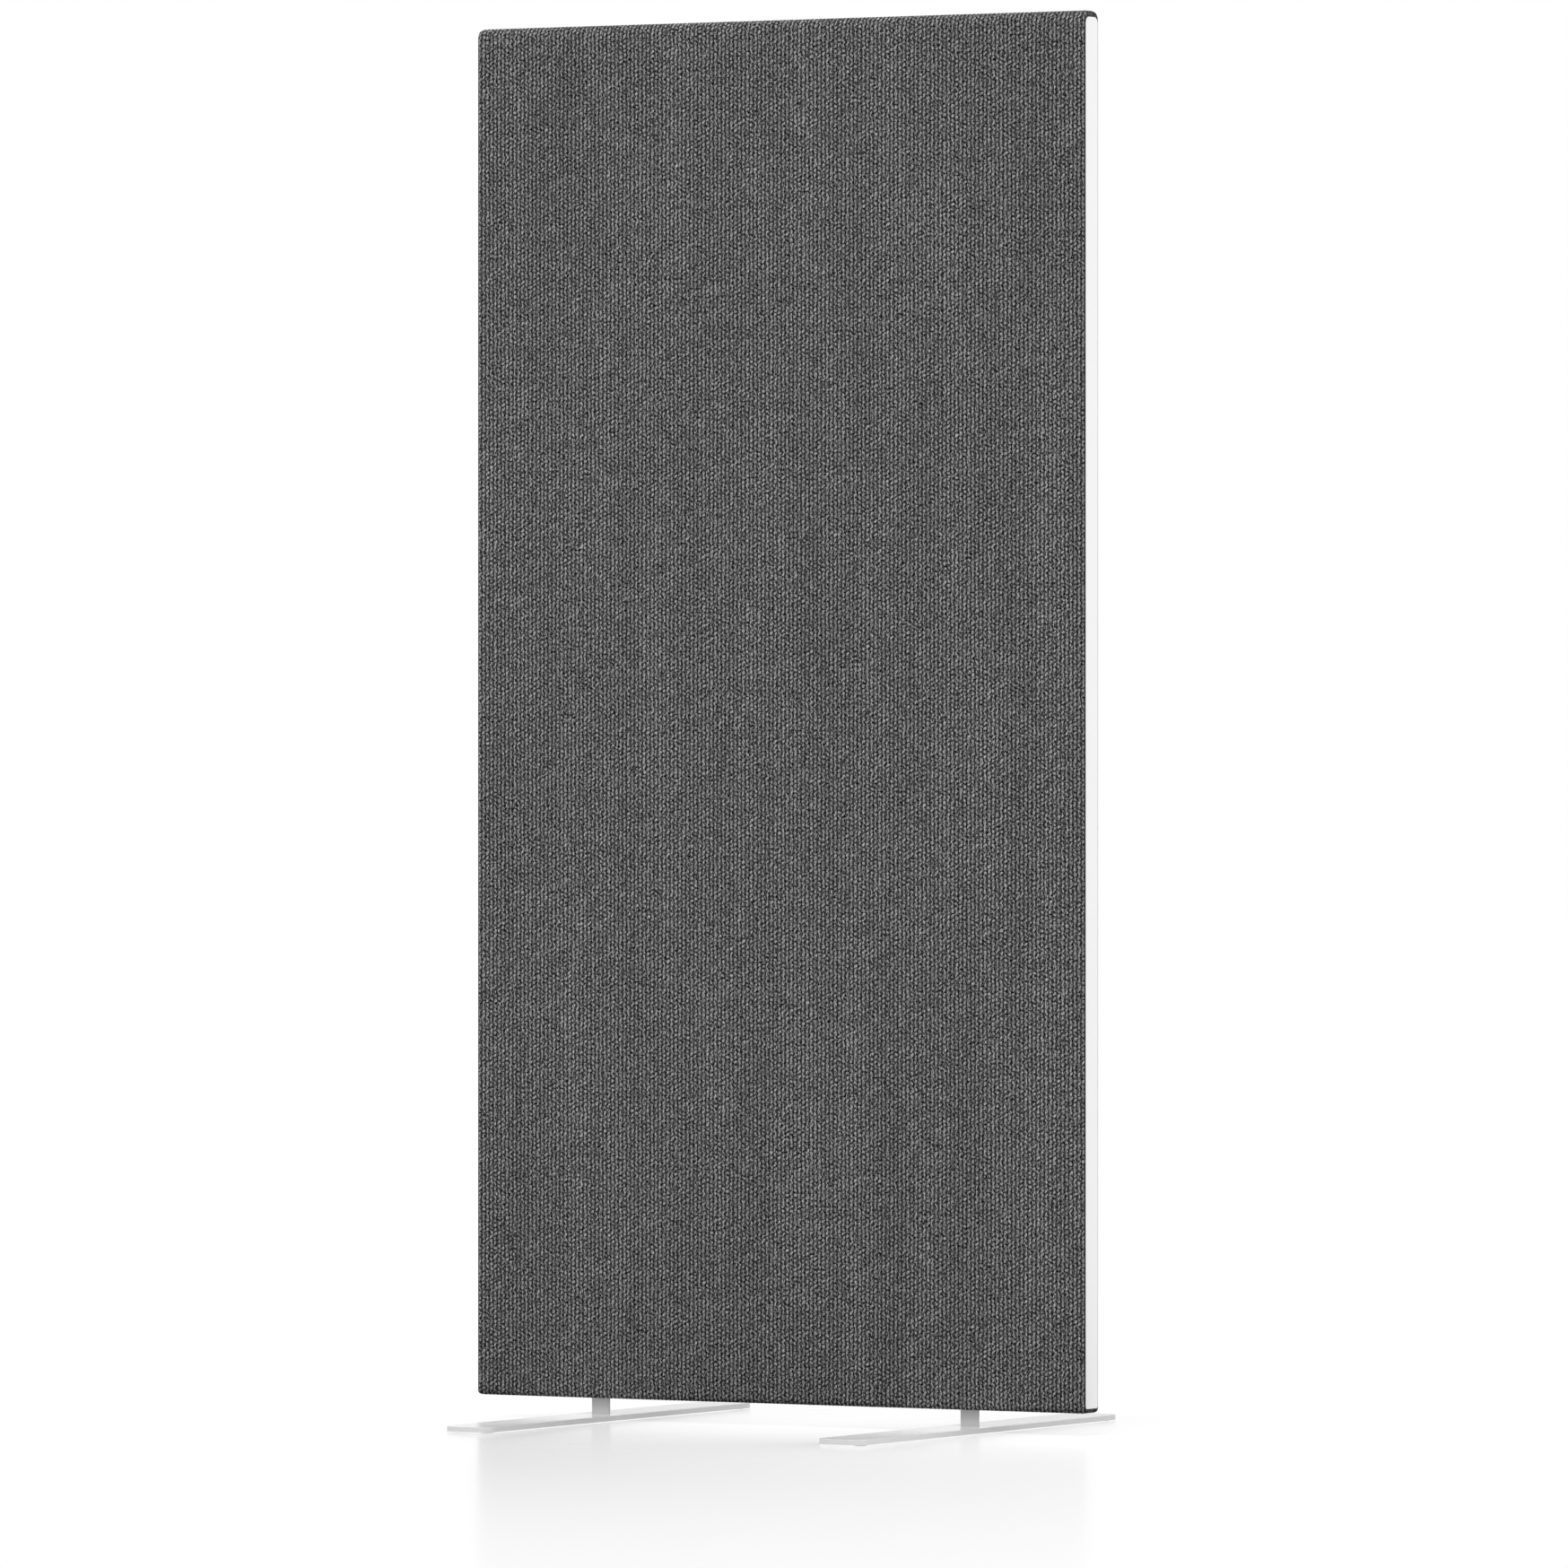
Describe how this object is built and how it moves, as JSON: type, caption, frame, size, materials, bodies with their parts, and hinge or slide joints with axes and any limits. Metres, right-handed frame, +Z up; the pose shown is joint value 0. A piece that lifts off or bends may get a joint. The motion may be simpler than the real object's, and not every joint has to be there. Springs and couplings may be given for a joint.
{
  "type": "office floor screen",
  "caption": "Free-standing office floor screen: a flat knit-covered acoustic panel with white edge strips, raised on slim flat steel feet.",
  "frame": {"origin": "on the floor, under the middle of the panel and midway between the feet", "axes": "+X along the panel to the right seen from the front, +Y from the front face to the back along the feet, +Z up"},
  "size_m": [0.8, 0.6, 1.6],
  "materials": {
    "frame_timber": "planed softwood",
    "dowel_beech": "fluted beech",
    "absorber_felt": "pressed polyester felt",
    "wadding": "bonded polyester wadding",
    "cover_knit": "coarse dark grey melange knit",
    "strip_white": "satin white extrusion",
    "zinc_steel": "zinc plated",
    "liner_nylon": "natural nylon",
    "foot_coat": "fine light grey powder coat",
    "pad_plastic": "clear white polyethylene"
  },
  "bodies": {
    "root": {"stile_left": "frame_timber", "stile_right": "frame_timber", "bottom_rail": "frame_timber", "middle_rail": "frame_timber", "top_rail": "frame_timber", "frame_dowels": "dowel_beech", "core_slab_lower": "absorber_felt", "core_slab_upper": "absorber_felt", "front_wadding": "wadding", "back_wadding": "wadding", "fabric_cover": "cover_knit", "cover_staples": "zinc_steel", "edge_strip_left": "strip_white", "edge_strip_right": "strip_white", "stem_socket_left": "zinc_steel", "stem_socket_right": "zinc_steel", "socket_liner_left": "liner_nylon", "socket_liner_right": "liner_nylon", "socket_screws_left": "zinc_steel", "socket_screws_right": "zinc_steel", "foot_plate_left": "foot_coat", "foot_plate_right": "foot_coat", "foot_stem_left": "foot_coat", "foot_stem_right": "foot_coat", "stem_weld_left": "foot_coat", "stem_weld_right": "foot_coat", "foot_pads_left": "pad_plastic", "foot_pads_right": "pad_plastic"}
  },
  "joints": []
}
